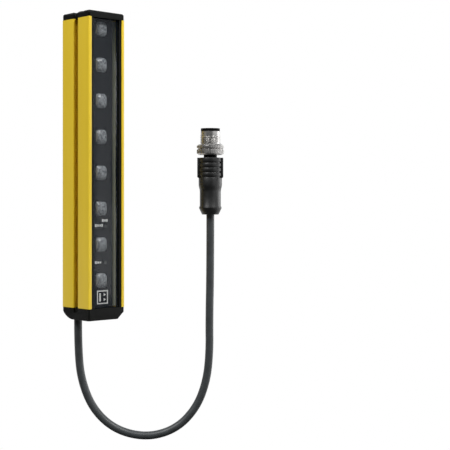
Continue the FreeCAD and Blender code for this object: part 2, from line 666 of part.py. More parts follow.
# The cores run from the cut sheath to the header, straight and slightly spread.
core_total = int(round(number("core_count")))
core_ring = number("core_ring") / 2
header_middle = (number(header_front) + number(header_back)) / 2
cores = []
for count in range(core_total):
    turn = 2 * math.pi * (count + 0.5) / core_total
    low_centre = Vector(number(exit_x) + core_ring * math.cos(turn),
                        number(exit_y) + core_ring * math.sin(turn), number(bottom_cap_high))
    share = (count + 1) / (core_total + 1)
    high_centre = Vector(number(header_left) + number("header_width") * share, header_middle,
                         number(board_low))
    ends = [Part.Wire(Part.makeCircle(number("core_diameter") / 2, centre))
            for centre in (low_centre, high_centre)]
    cores.append(Part.makeLoft(ends, True))
core_group = keep(doc.addObject("Part::Feature", "core_wires"))
core_group.Label = "core_wires"
core_group.Shape = Part.makeCompound(cores)

# ---------------------------------------------------------------- lead
# Points of the hanging lead: distance across its plane from the exit, and height.
lead_route = [
    (0.0, number(lowest_z)), (0.0, -107.0), (1.8, -126.0), (9.0, -143.6), (22.5, -155.6),
    (41.0, -159.7), (58.0, -154.6), (69.8, -142.2), (75.8, -126.2), (77.5, -108.8),
    (77.3, -91.0), (number("plug_offset"), -59.8),
    (number("plug_offset"), number("plug_bottom_height")),
]
plane_turn = math.radians(number("lead_plane_angle"))
arc_share = 0.45   # how much of the shorter run beside a corner its arc takes


def lead_point(across, height):
    return Vector(number(exit_x) + across * math.cos(plane_turn),
                  number(exit_y) + across * math.sin(plane_turn), height)


def tangent_path(points):
    """Straight runs joined by tangent arcs, each arc as large as its two runs allow."""
    edges = []
    start = points[0]
    radii = []
    for before, corner, after in zip(points, points[1:], points[2:]):
        into = corner - before
        out = after - corner
        turn = into.getAngle(out)
        reach = arc_share * min(into.Length, out.Length)
        radius = reach / math.tan(turn / 2)
        radii.append(radius)
        into.normalize()
        out.normalize()
        arc_start = corner - into * reach
        arc_end = corner + out * reach
        inward = out - into
        inward.normalize()
        centre = corner + inward * (radius / math.cos(turn / 2))
        middle = centre - inward * radius
        edges.append(Part.LineSegment(start, arc_start).toShape())
        edges.append(Part.Arc(arc_start, middle, arc_end).toShape())
        start = arc_end
    edges.append(Part.LineSegment(start, points[-1]).toShape())
    return Part.Wire(edges), radii


lead_path, lead_radii = tangent_path([lead_point(*place) for place in lead_route])
print("lead length", round(lead_path.Length, 2), "radii", [round(radius, 1) for radius in lead_radii])
lead_section = Part.Wire(Part.makeCircle(number("lead_diameter") / 2, lead_point(*lead_route[0]),
                                         Vector(0, 0, 1)))
lead = keep(doc.addObject("Part::Feature", "lead"))
lead.Label = "lead"
lead.Shape = lead_path.makePipeShell([lead_section], True, False)
lead_volume = math.pi * (number("lead_diameter") / 2) ** 2 * lead_path.Length
print("lead volume ratio", round(lead.Shape.Volume / lead_volume, 4))

# ---------------------------------------------------------------- M12 plug, upright on its own axis
plug_x = f"({exit_x} + plug_offset * cos(lead_plane_angle * 1 deg ))"
plug_y = f"({exit_y} + plug_offset * sin(lead_plane_angle * 1 deg ))"
relief_top = "(plug_bottom_height + relief_height)"
shaft_top = f"({relief_top} + shaft_height)"
shoulder_top = f"({shaft_top} + shoulder_height)"
grip_top = f"({shoulder_top} + grip_height)"
nut_low = f"({grip_top} + neck_gap)"
nut_high = f"({nut_low} + nut_height)"
thread_high = f"({nut_high} + thread_length)"
collar_high = f"({thread_high} + collar_length)"
rim_low = f"({collar_high} + rim_gap)"
rim_high = f"({rim_low} + rim_height)"
socket_low = f"({grip_top} - neck_socket_depth)"
barrel_low = f"({nut_low} + nut_floor)"


def turned(body, name, corners):
    """Revolves a closed outline of (radius, height) corners about the body's own axis."""
    sketch = new_sketch(body, name + "_outline", "XZ_Plane")
    add_outline(sketch, corners)
    return revolve(body, name, sketch)


def stand_on_plug_axis(body):
    body.Placement = FreeCAD.Placement(Vector(0, 0, 0), FreeCAD.Rotation(Vector(0, 0, 1), 1))
    bind(body, Placement__Base__x=plug_x, Placement__Base__y=plug_y,
         Placement__Rotation__Angle="lead_plane_angle * 1 deg")


plug_body = keep(new_body("plug_body"))
turned(plug_body, "plug_body_turned", [
    ("0", "plug_bottom_height"), ("(relief_tip_diameter / 2)", "plug_bottom_height"),
    ("(relief_diameter / 2)", f"({relief_top} - relief_edge)"), ("(relief_diameter / 2)", relief_top),
    ("(shaft_diameter / 2)", f"({relief_top} + relief_step)"), ("(shaft_diameter / 2)", shaft_top),
    ("(shoulder_diameter / 2)", f"({shaft_top} + taper_height)"),
    ("(shoulder_diameter / 2)", grip_top), ("(neck_diameter / 2 + running_clearance)", grip_top),
    ("(neck_diameter / 2 + running_clearance)", socket_low), ("0", socket_low),
])
ring_outline = new_sketch(plug_body, "grip_ring_outline", "XZ_Plane")
ring_low = f"({shoulder_top} + grip_ring_inset)"
add_rectangle(ring_outline, "(shoulder_diameter / 2 - grip_ring_cut)",
              "(shoulder_diameter / 2 + grip_ring_cut)", ring_low, f"({ring_low} + grip_ring_height)")
ring_cut = plug_body.newObject("PartDesign::Groove", "grip_ring")
ring_cut.Profile = ring_outline
ring_cut.ReferenceAxis = (ring_outline, ["V_Axis"])
ring_cut.Angle = 360
doc.recompute()
rings = plug_body.newObject("PartDesign::LinearPattern", "grip_rings")
rings.Originals = [ring_cut]
rings.Direction = (origin_of(plug_body, "Z_Axis"), [""])
bind(rings, Length="(grip_ring_count - 1) * grip_ring_pitch", Occurrences="grip_ring_count")
plug_body.Tip = rings
doc.recompute()
ribs = new_sketch(plug_body, "grip_rib_outlines", "XY_Plane", shoulder_top)
for side in ("", "-1 * "):
    add_rectangle(ribs, f"{side}(grip_width / 2 - grip_rib)", f"{side}(grip_width / 2)",
                  "(0 - grip_depth / 2)", "(grip_depth / 2)")
pad(plug_body, "grip_ribs", ribs, "grip_height")
stand_on_plug_axis(plug_body)

# ---------------------------------------------------------------- contact carrier and pins
contact_carrier = keep(new_body("contact_carrier"))
turned(contact_carrier, "contact_carrier_turned", [
    ("0", socket_low), ("(neck_diameter / 2)", socket_low), ("(neck_diameter / 2)", barrel_low),
    ("(barrel_diameter / 2)", barrel_low), ("(barrel_diameter / 2)", rim_low),
    ("(rim_diameter / 2)", rim_low), ("(rim_diameter / 2)", rim_high),
    ("(mouth_diameter / 2)", rim_high), ("(mouth_diameter / 2)", f"({rim_high} - mouth_depth)"),
    ("0", f"({rim_high} - mouth_depth)"),
])
key = new_sketch(contact_carrier, "key_outline", "XY_Plane", f"({rim_high} - mouth_depth)")
add_rectangle(key, "(0 - key_width / 2)", "(key_width / 2)",
              "(mouth_diameter / 2 - key_height)", "(mouth_diameter / 2 + key_root)")
pad(contact_carrier, "coding_key", key, "mouth_depth - pin_inset")
pin_low = f"({rim_high} - mouth_depth - pin_root)"
pin_holes = new_sketch(contact_carrier, "pin_hole_outlines", "XY_Plane", f"({rim_high} - mouth_depth)")
pin_total = int(round(number("pin_count")))
pin_places = [("0", "0")]
for count in range(pin_total):
    spoke = f"(({count} + 0.5) / pin_count * 360 * 1 deg)"
    pin_places.append((f"(pin_ring / 2 * cos{spoke})", f"(pin_ring / 2 * sin{spoke})"))
for place in pin_places:
    add_circle(pin_holes, place[0], place[1], "pin_diameter + 2 * pin_clearance")
pocket(contact_carrier, "pin_holes", pin_holes, "pin_root")
stand_on_plug_axis(contact_carrier)

pins = []
plug_turn = "(lead_plane_angle * 1 deg)"
pin_shoulder = f"({rim_high} - pin_inset - pin_tip)"
for count, (along, aside) in enumerate(pin_places, start=1):
    pin_x = f"({plug_x} + {along} * cos{plug_turn} - {aside} * sin{plug_turn})"
    pin_y = f"({plug_y} + {along} * sin{plug_turn} + {aside} * cos{plug_turn})"
    shank = rod(f"pin_shank_{count}", "pin_diameter", f"{pin_shoulder} - {pin_low}",
                pin_x, pin_y, pin_low)
    point = tip(f"pin_point_{count}", "pin_diameter", "pin_tip_diameter", "pin_tip",
                pin_x, pin_y, pin_shoulder)
    pins.append(combine("Part::MultiFuse", f"pin_{count}", shank, point))
keep(combine("Part::Compound", "contact_pins", *pins))

# ---------------------------------------------------------------- coupling nut
coupling_nut = keep(new_body("coupling_nut"))
small_bore = "(neck_diameter / 2 + running_clearance)"
large_bore = "(barrel_diameter / 2 + running_clearance)"
groove_level = f"({nut_low} + nut_groove_rise)"
turned(coupling_nut, "coupling_nut_turned", [
    (small_bore, nut_low), ("(nut_diameter / 2 - nut_bevel)", nut_low),
    ("(nut_diameter / 2)", f"({nut_low} + nut_bevel)"),
    ("(nut_diameter / 2)", f"({groove_level} - nut_groove)"),
    ("(nut_diameter / 2 - nut_groove)", groove_level),
    ("(nut_diameter / 2)", f"({groove_level} + nut_groove)"),
    ("(nut_diameter / 2)", f"({nut_high} - nut_bevel)"),
    ("(nut_diameter / 2 - nut_bevel)", nut_high), ("(thread_diameter / 2)", nut_high),
    ("(thread_diameter / 2)", thread_high), ("(collar_diameter / 2)", thread_high),
    ("(collar_diameter / 2)", collar_high), (large_bore, collar_high),
    (large_bore, f"({barrel_low} - rim_gap)"), (small_bore, f"({barrel_low} - rim_gap)"),
])
flute = new_sketch(coupling_nut, "knurl_flute", "XY_Plane", nut_low)
flute_root = "(nut_diameter / 2 - knurl_depth)"
flute_top = "(nut_diameter / 2 + knurl_depth)"
add_outline(flute, [(flute_root, "0"), (flute_top, "knurl_width"), (flute_top, "(0 - knurl_width)")])
flute_cut = pocket(coupling_nut, "knurl_cut", flute, "nut_height", reverse=True)
knurl = coupling_nut.newObject("PartDesign::PolarPattern", "knurl")
knurl.Originals = [flute_cut]
knurl.Axis = (origin_of(coupling_nut, "Z_Axis"), [""])
knurl.Angle = 360
bind(knurl, Occurrences="knurl_count")
coupling_nut.Tip = knurl
doc.recompute()
stand_on_plug_axis(coupling_nut)

# ---------------------------------------------------------------- check and write
doc.recompute()
for item in doc.Objects:
    if any(word in ("Invalid", "Error") for word in item.State):
        raise RuntimeError(f"{item.Name} failed: {item.State}")
os.makedirs("parts", exist_ok=True)
for node in nodes:
    shape = node.Shape
    if shape.isNull() or not shape.isValid():
        raise RuntimeError(f"{node.Label} has no valid shape")
    shape.exportStep(f"parts/{node.Label}.step")
print("sub-parts", len(nodes))
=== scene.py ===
import json
import math
import bmesh
import bpy
from mathutils import Matrix, Vector


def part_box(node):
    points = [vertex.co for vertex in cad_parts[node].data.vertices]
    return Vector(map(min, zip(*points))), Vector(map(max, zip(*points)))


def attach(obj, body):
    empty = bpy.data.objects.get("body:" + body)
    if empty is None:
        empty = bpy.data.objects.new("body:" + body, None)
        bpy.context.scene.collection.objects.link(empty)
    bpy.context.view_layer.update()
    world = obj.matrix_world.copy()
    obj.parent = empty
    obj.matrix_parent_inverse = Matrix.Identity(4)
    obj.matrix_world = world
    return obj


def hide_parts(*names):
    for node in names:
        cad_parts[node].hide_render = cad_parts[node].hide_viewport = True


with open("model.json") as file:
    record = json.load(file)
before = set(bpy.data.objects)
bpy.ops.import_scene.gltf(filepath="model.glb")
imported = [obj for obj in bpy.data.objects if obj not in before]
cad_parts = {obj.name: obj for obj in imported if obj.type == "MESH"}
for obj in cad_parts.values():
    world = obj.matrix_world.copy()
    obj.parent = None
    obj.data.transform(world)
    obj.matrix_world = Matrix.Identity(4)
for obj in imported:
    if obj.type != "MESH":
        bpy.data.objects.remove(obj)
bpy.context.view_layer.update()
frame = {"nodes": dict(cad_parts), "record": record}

mm = 0.001
nodes = frame["nodes"]
mainBody = "curtain"
nutBody = "coupling_nut"
print("frame loaded", len(nodes), "nodes")


# ---------- colour, nodes and materials
def linearColour(hexColour):
    # sRGB hex to linear RGBA
    channels = [int(hexColour[i:i + 2], 16) / 255 for i in (1, 3, 5)]
    linear = [c / 12.92 if c <= 0.04045 else ((c + 0.055) / 1.055) ** 2.4 for c in channels]
    return (*linear, 1.0)


def addNode(tree, kind, settings=None, links=None):
    # one node, its socket values and properties, and what feeds it
    node = tree.nodes.new(kind)
    for key, value in (settings or {}).items():
        if key in node.inputs:
            node.inputs[key].default_value = value
        else:
            setattr(node, key, value)
    for key, source in (links or {}).items():
        tree.links.new(source, node.inputs[key])
    return node


def startMaterial(name, shader):
    # a material with its shader set and its place in the object ready for patterns
    material = bpy.data.materials.new(name)
    material.use_nodes = True
    tree = material.node_tree
    tree.nodes.clear()
    surface = addNode(tree, "ShaderNodeBsdfPrincipled", shader)
    addNode(tree, "ShaderNodeOutputMaterial", None, {"Surface": surface.outputs["BSDF"]})
    place = addNode(tree, "ShaderNodeTexCoord").outputs["Object"]
    return material, tree, surface, place


noiseBand = (0.3, 0.7)  # the part of a noise's range that is used from end to end
bumpShare = 0.3  # a grain's height as a share of its width


def grainBump(tree, surface, place, sizeMm, strength, stretch=(1, 1, 1), detail=2.0):
    # raised grain of a real size; stretch is how much longer the grain is along each axis
    scaled = addNode(tree, "ShaderNodeMapping", {"Scale": tuple(1 / s for s in stretch)}, {"Vector": place})
    noise = addNode(tree, "ShaderNodeTexNoise", {"Scale": 1 / (sizeMm * mm), "Detail": detail},
                    {"Vector": scaled.outputs["Vector"]})
    bump = addNode(tree, "ShaderNodeBump", {"Strength": strength, "Distance": sizeMm * mm * bumpShare},
                   {"Height": noise.outputs["Fac"]})
    tree.links.new(bump.outputs["Normal"], surface.inputs["Normal"])


def mottle(tree, surface, place, dark, light, sizeMm, stretch=(1, 1, 1)):
    # a slow drift between two close colours
    scaled = addNode(tree, "ShaderNodeMapping", {"Scale": tuple(1 / s for s in stretch)}, {"Vector": place})
    noise = addNode(tree, "ShaderNodeTexNoise", {"Scale": 1 / (sizeMm * mm), "Detail": 3.0},
                    {"Vector": scaled.outputs["Vector"]})
    tone = addNode(tree, "ShaderNodeValToRGB", None, {"Fac": noise.outputs["Fac"]})
    for element, position, colour in zip(tone.color_ramp.elements, noiseBand, (dark, light)):
        element.position = position
        element.color = linearColour(colour)
    tree.links.new(tone.outputs["Color"], surface.inputs["Base Color"])


def roughnessDrift(tree, surface, place, low, high, sizeMm, stretch=(1, 1, 1)):
    # the sheen changes a little from place to place
    scaled = addNode(tree, "ShaderNodeMapping", {"Scale": tuple(1 / s for s in stretch)}, {"Vector": place})
    noise = addNode(tree, "ShaderNodeTexNoise", {"Scale": 1 / (sizeMm * mm), "Detail": 2.0},
                    {"Vector": scaled.outputs["Vector"]})
    spread = addNode(tree, "ShaderNodeMapRange", {
        "From Min": noiseBand[0], "From Max": noiseBand[1], "To Min": low, "To Max": high},
        {"Value": noise.outputs["Fac"]})
    tree.links.new(spread.outputs["Result"], surface.inputs["Roughness"])


def yellowPowderCoat():
    # satin powder coat on an extrusion: a fine orange peel and faint draw lines along the bar
    material, tree, surface, place = startMaterial("yellowPowderCoat", {
        "IOR": 1.5, "Specular IOR Level": 0.5})
    mottle(tree, surface, place, "#D6B622", "#DDBE2D", 14, stretch=(1, 1, 9))
    roughnessDrift(tree, surface, place, 0.34, 0.42, 6, stretch=(1, 1, 6))
    grainBump(tree, surface, place, 0.7, 0.12, stretch=(1, 1, 1.5))
    return material


def smokedAcrylic():
    # polished smoked sheet: a soft reflection over a dim view of what lies behind
    material, tree, surface, place = startMaterial("smokedAcrylic", {
        "Base Color": linearColour("#1A222A"), "IOR": 1.49, "Specular IOR Level": 1.0, "Alpha": 0.22})
    roughnessDrift(tree, surface, place, 0.08, 0.11, 6)
    return material


def blackRubber():
    # extruded EPDM: matt, slightly grey where it catches light, its grain drawn coarser to show
    material, tree, surface, place = startMaterial("blackRubber", {"IOR": 1.52, "Specular IOR Level": 0.12})
    mottle(tree, surface, place, "#0B0C09", "#12130E", 3, stretch=(1, 1, 12))
    roughnessDrift(tree, surface, place, 0.55, 0.7, 2)
    grainBump(tree, surface, place, 0.3, 0.25)
    return material


def mouldedNylon():
    # glass-filled nylon caps: near black, with a spark-eroded mould grain, drawn coarser so that it shows
    material, tree, surface, place = startMaterial("mouldedNylon", {"IOR": 1.53, "Specular IOR Level": 0.12})
    mottle(tree, surface, place, "#080908", "#0C0D0C", 5)
    roughnessDrift(tree, surface, place, 0.42, 0.55, 1.2)
    grainBump(tree, surface, place, 0.35, 0.35, detail=4.0)
    return material


def carrierPlastic():
    # matt black moulding that soaks up stray light behind the window, its grain drawn coarser to show
    material, tree, surface, place = startMaterial("carrierPlastic", {"IOR": 1.5, "Specular IOR Level": 0.3})
    mottle(tree, surface, place, "#15171A", "#1C1F22", 6)
    roughnessDrift(tree, surface, place, 0.6, 0.75, 2)
    grainBump(tree, surface, place, 0.25, 0.3, detail=4.0)
    return material


def lensPolycarbonate():
    # moulded polycarbonate: a milky grey with a paler flow pattern in it
    material, tree, surface, place = startMaterial("lensPolycarbonate", {
        "IOR": 1.585, "Transmission Weight": 0.15, "Roughness": 0.2})
    mottle(tree, surface, place, "#6E757B", "#D3D9DD", 1.2)
    grainBump(tree, surface, place, 1.5, 0.3)
    return material


def groundAndGlintPolycarbonate():
    # the lens's cut sides, left matt and pale; their near-white tone is also a painted highlight standing in
    # for the glint along the lens's left edge
    material, tree, surface, place = startMaterial("groundAndGlintPolycarbonate", {"IOR": 1.585, "Roughness": 0.6})
    mottle(tree, surface, place, "#D9DEE1", "#F7F9FA", 0.9)
    grainBump(tree, surface, place, 0.3, 0.3)
    return material


def ledEpoxy():
    # smoky cast epoxy of an infrared lamp: dark violet and glossy
    material, tree, surface, place = startMaterial("ledEpoxy", {
        "IOR": 1.54, "Transmission Weight": 0.4, "Roughness": 0.12})
    mottle(tree, surface, place, "#40384C", "#5A5068", 2)
    return material


def lightGuide():
    # smoky acrylic rod with a frosted end, unlit
    material, tree, surface, place = startMaterial("lightGuide", {
        "IOR": 1.49, "Transmission Weight": 0.3, "Roughness": 0.3})
    mottle(tree, surface, place, "#3C403E", "#4E5350", 1)
    grainBump(tree, surface, place, 0.2, 0.3)
    return material


def stripPaintedLight():
    # painted light: a pale greenish tone that stands in for the lit channel wall, painted paler towards its
    # lower end
    palest, darkest = -80, 80  # heights in millimetres where the painted light is strongest and weakest
    material, tree, surface, place = startMaterial("stripPaintedLight", {"IOR": 1.49, "Roughness": 0.5})
    height = addNode(tree, "ShaderNodeSeparateXYZ", None, {"Vector": place}).outputs["Z"]
    rise = addNode(tree, "ShaderNodeMapRange", {"From Min": palest * mm, "From Max": darkest * mm},
                   {"Value": height})
    tone = addNode(tree, "ShaderNodeValToRGB", None, {"Fac": rise.outputs["Result"]})
    tone.color_ramp.elements[0].color = linearColour("#F0F5D6")
    tone.color_ramp.elements[1].color = linearColour("#676C54")
    tree.links.new(tone.outputs["Color"], surface.inputs["Base Color"])
    grainBump(tree, surface, place, 0.2, 0.2)
    return material


def whiteInk():
    # screen printed ink with small thin spots
    material, tree, surface, place = startMaterial("whiteInk", {"IOR": 1.5, "Roughness": 0.5})
    mottle(tree, surface, place, "#E9EBE8", "#FCFDFB", 0.6)
    grainBump(tree, surface, place, 0.1, 0.1)
    return material


def solderMask():
    # glossy green lacquer over copper, with a hint of tracks
    trackPitch, trackShare = 9, 0.03  # millimetres, and a track's width as a share of that
    material, tree, surface, place = startMaterial("solderMask", {"IOR": 1.5, "Roughness": 0.3})
    tracks = addNode(tree, "ShaderNodeTexBrick", {
        "Scale": 1 / (trackPitch * mm), "Mortar Size": trackShare, "Color1": linearColour("#0E4A22"),
        "Color2": linearColour("#11562A"), "Mortar": linearColour("#1B6B38")}, {"Vector": place})
    tree.links.new(tracks.outputs["Color"], surface.inputs["Base Color"])
    grainBump(tree, surface, place, 0.4, 0.15)
    return material


def plainPlastic(name, dark, light, roughness, grainMm, shine=0.5):
    # a small moulded part: two close tones and a fine grain, drawn coarser than real so that it shows
    material, tree, surface, place = startMaterial(name, {"IOR": 1.5, "Specular IOR Level": shine})
    mottle(tree, surface, place, dark, light, 3)
    roughnessDrift(tree, surface, place, roughness, roughness + 0.12, 1.5)
    grainBump(tree, surface, place, grainMm, 0.2)
    return material


def plainMetal(name, dark, light, roughness, grainMm, bump=0.08):
    # a plated or turned metal part: small drift in tone and in polish
    material, tree, surface, place = startMaterial(name, {"Metallic": 1.0})
    mottle(tree, surface, place, dark, light, 2.5)
    roughnessDrift(tree, surface, place, roughness, roughness + 0.1, 1.5)
    grainBump(tree, surface, place, grainMm, bump)
    return material


def cableJacket():
    # extruded polyurethane jacket: dark grey and satin, with a soft sheen and a fine grain
    material, tree, surface, place = startMaterial("cableJacket", {
        "IOR": 1.5, "Specular IOR Level": 0.45, "Sheen Weight": 0.08, "Sheen Roughness": 0.5})
    mottle(tree, surface, place, "#2A2D2E", "#34383A", 5)
    roughnessDrift(tree, surface, place, 0.42, 0.52, 3)
    grainBump(tree, surface, place, 0.3, 0.18)
    return material


def tpuOvermould():
    # injection moulded elastomer of the plug: black, soft satin
    material, tree, surface, place = startMaterial("tpuOvermould", {"IOR": 1.5, "Specular IOR Level": 0.6})
    mottle(tree, surface, place, "#060707", "#0C0D0E", 4)
    roughnessDrift(tree, surface, place, 0.36, 0.44, 1.5)
    grainBump(tree, surface, place, 0.35, 0.12, detail=4.0)
    return material


finishes = {
    "yellow_powder_coat": yellowPowderCoat(),
    "smoked_acrylic": smokedAcrylic(),
    "black_rubber": blackRubber(),
    "black_cap_plastic": mouldedNylon(),
    "carrier_plastic": carrierPlastic(),
    "lens_plastic": lensPolycarbonate(),
    "led_epoxy": ledEpoxy(),
    "light_guide": lightGuide(),
    # white reflector moulding of a lamp: creamy and satin
    "led_package": plainPlastic("ledPackage", "#CFCDBF", "#E2E0D4", 0.4, 0.2),
    "board_laminate": solderMask(),
    # epoxy moulding compound of a chip: dull and dark
    "chip_plastic": plainPlastic("mouldingCompound", "#17181A", "#202224", 0.55, 0.15),
    # drawn aluminium can: pale, with a soft gleam
    "capacitor_can": plainMetal("aluminiumCan", "#B9BBBE", "#C9CBCE", 0.28, 0.2),
    # undyed nylon of a wire header: ivory and satin
    "header_plastic": plainPlastic("headerNylon", "#C9C4B2", "#D8D4C4", 0.45, 0.25),
    # zinc plated screws: bluish grey, fairly bright
    "screw_steel": plainMetal("zincSteel", "#A9ABAD", "#BDBFC1", 0.3, 0.2),
    "lead_jacket": cableJacket(),
    # brown PVC of the lead's cores: satin
    "core_insulation": plainPlastic("coreInsulation", "#6A3A18", "#7A4620", 0.4, 0.2),
    "plug_overmould": tpuOvermould(),
    # contact carrier and its front rim: black nylon with hardly any shine
    "contact_plastic": plainPlastic("contactNylon", "#030303", "#060606", 0.5, 0.25, shine=0.06),
    # thin gold over the pins: warm and bright
    "gold_contacts": plainMetal("goldPlating", "#D9A748", "#E6BA62", 0.2, 0.15),
    # nickel over turned brass: warm grey, bright and almost smooth
    "nickel_brass": plainMetal("nickelPlating", "#A9A8A6", "#C0BEBC", 0.28, 0.12, bump=0.01),
}
groundEdgeAndGlint, stripPaintedLightFinish, markInk = groundAndGlintPolycarbonate(), stripPaintedLight(), whiteInk()
slotOf = {row["node"]: row["material_slot"] for row in frame["record"]["subparts"]}
print("materials made", len(finishes))


# ---------- making and placing meshes
def span(nodeName, axis):
    # low and high of a CAD piece along an axis, in millimetres
    low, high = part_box(nodeName)
    return low[axis] / mm, high[axis] / mm


def pieceFrom(bm, name, slot, replaced=(), body=mainBody, smoothBelow=35):
    # turns a bmesh into a finished piece that rides on a body and takes the place of CAD pieces
    bmesh.ops.recalc_face_normals(bm, faces=bm.faces)
    mesh = bpy.data.meshes.new(name)
    bm.to_mesh(mesh)
    bm.free()
    piece = bpy.data.objects.new(name, mesh)
    bpy.context.scene.collection.objects.link(piece)
    mesh.shade_smooth()
    mesh.set_sharp_from_angle(angle=math.radians(smoothBelow))
    mesh.materials.append(finishes[slot])
    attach(piece, body)
    if replaced:
        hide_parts(*replaced)
    return piece


def splitLargeFaces(bm):
    # turns each face of more than four corners into triangles
    bmesh.ops.triangulate(bm, faces=[f for f in bm.faces if len(f.verts) > 4])


def sharpEdges(bm, angle):
    # every edge that turns more than an angle
    return [e for e in bm.edges if e.is_manifold and e.calc_face_angle(0) > math.radians(angle)]


weldMm = 0.001  # closer corners than this are one


def turned(outline, steps, closed=False):
    # spins (radius, height) points in millimetres about the upright axis
    bm = bmesh.new()
    corners = [bm.verts.new((radius * mm, 0, height * mm)) for radius, height in outline]
    ends = corners[1:] + corners[:1] if closed else corners[1:]
    edges = [bm.edges.new(pair) for pair in zip(corners, ends)]
    bmesh.ops.spin(bm, geom=corners + edges, cent=(0, 0, 0), axis=(0, 0, 1), angle=2 * math.pi,
                   steps=steps, use_merge=True)
    bmesh.ops.remove_doubles(bm, verts=bm.verts, dist=weldMm * mm)
    bmesh.ops.recalc_face_normals(bm, faces=bm.faces)
    return bm


def roundEdges(bm, widthMm, chosen, segments=2, clamp=True):
    # rounds the chosen edges
    bmesh.ops.bevel(bm, geom=chosen, offset=widthMm * mm, offset_type="OFFSET", segments=segments,
                    profile=0.5, affect="EDGES", clamp_overlap=clamp, material=-1)


def addBlock(bm, centre, size):
    # adds a box in millimetres and returns its corners
    made = bmesh.ops.create_cube(bm, size=1.0)["verts"]
    bmesh.ops.scale(bm, verts=made, vec=Vector(size) * mm)
    bmesh.ops.translate(bm, verts=made, vec=Vector(centre) * mm)
    return made


for nodeName, node in nodes.items():
    node.data.materials.clear()
    node.data.materials.append(finishes[slotOf[nodeName]])

# ---------- camera
camera = {"lens": 92.37, "sensor": 36, "place": (-413.8, -558.8, -22.2), "turn": -43.67,
          "shiftY": -21 / 450, "near": 0.01, "far": 30}  # place in millimetres, near and far in metres
cameraData = bpy.data.cameras.new("camera")
cameraData.lens = camera["lens"]
cameraData.sensor_width = camera["sensor"]
cameraData.shift_y = camera["shiftY"]
cameraData.clip_start = camera["near"]
cameraData.clip_end = camera["far"]
cameraObject = bpy.data.objects.new("camera", cameraData)
cameraObject.location = Vector(camera["place"]) * mm
cameraObject.rotation_euler = (math.radians(90), 0, math.radians(camera["turn"]))
bpy.context.scene.collection.objects.link(cameraObject)
bpy.context.scene.camera = cameraObject

# ---------- lead
lead = {
    "exit": (-6.7, -7.0), "planeAngle": -43.7, "diameter": 4.7, "length": 0.2406,
    # distance across the lead's plane from its exit, and height, in millimetres
    "route": [(0.0, -89.65), (0.0, -107.0), (1.8, -126.0), (9.0, -143.6), (22.5, -155.6),
              (41.0, -159.7), (58.0, -154.6), (69.8, -142.2), (75.8, -126.2), (77.5, -108.8),
              (77.3, -91.0), (77.9, -59.8), (77.9, -28.4)],
}


def leadPoint(across, height):
    turn = math.radians(lead["planeAngle"])
    x, y = lead["exit"]
    return Vector((x + across * math.cos(turn), y + across * math.sin(turn), height)) * mm


curve = bpy.data.curves.new("lead_cable", "CURVE")
curve.dimensions = "3D"
curve.bevel_depth = lead["diameter"] / 2 * mm
curve.bevel_resolution = 8
curve.use_fill_caps = True
spline = curve.splines.new("NURBS")
spline.points.add(len(lead["route"]) - 1)
for point, (across, height) in zip(spline.points, lead["route"]):
    point.co = (*leadPoint(across, height), 1.0)
spline.order_u = 3
spline.use_endpoint_u = True
spline.resolution_u = 12
spline.use_smooth = True
curve.materials.append(finishes["lead_jacket"])
cable = bpy.data.objects.new("lead_cable", curve)
bpy.context.scene.collection.objects.link(cable)
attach(cable, mainBody)
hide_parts("lead")
print("lead made")

# ---------- profile, caps, strips and window: the solids with their edges broken
# the round's width, and the shortest edge that gets one, in millimetres
brokenEdges = {
    "profile_housing": (0.15, 40), "top_cap": (0.2, 1.5), "bottom_cap": (0.3, 1.5),
    "window_strip_left": (0.12, 40), "window_strip_right": (0.12, 40), "front_window": (0.2, 2),
}
bar = {"weld": 0.002, "flatBelow": 1, "sharpAbove": 28}  # millimetres, then angles


def softened(nodeName):
    # a copy of a CAD piece with its triangles joined into flats and its long edges rounded
    widthMm, shortestMm = brokenEdges[nodeName]
    bm = bmesh.new()
    bm.from_mesh(nodes[nodeName].data)
    bmesh.ops.remove_doubles(bm, verts=bm.verts, dist=bar["weld"] * mm)
    bmesh.ops.dissolve_limit(bm, angle_limit=math.radians(bar["flatBelow"]), verts=bm.verts, edges=bm.edges)
    longEdges = [e for e in sharpEdges(bm, bar["sharpAbove"]) if e.calc_length() > shortestMm * mm]
    roundEdges(bm, widthMm, longEdges, clamp=False)
    splitLargeFaces(bm)
    return bm


for nodeName in brokenEdges:
    pieceFrom(softened(nodeName), nodeName + "_finished", slotOf[nodeName], (nodeName,))
print("bar made")

# ---------- lenses
lens = {"round": 9.6, "height": 8.3, "width": 7.6, "ball": 7.0, "slope": 0.4, "slopeDrop": 0.9,
        "ringDepth": 0.05, "rings": 5, "domeSteps": 24, "aroundSteps": 64}


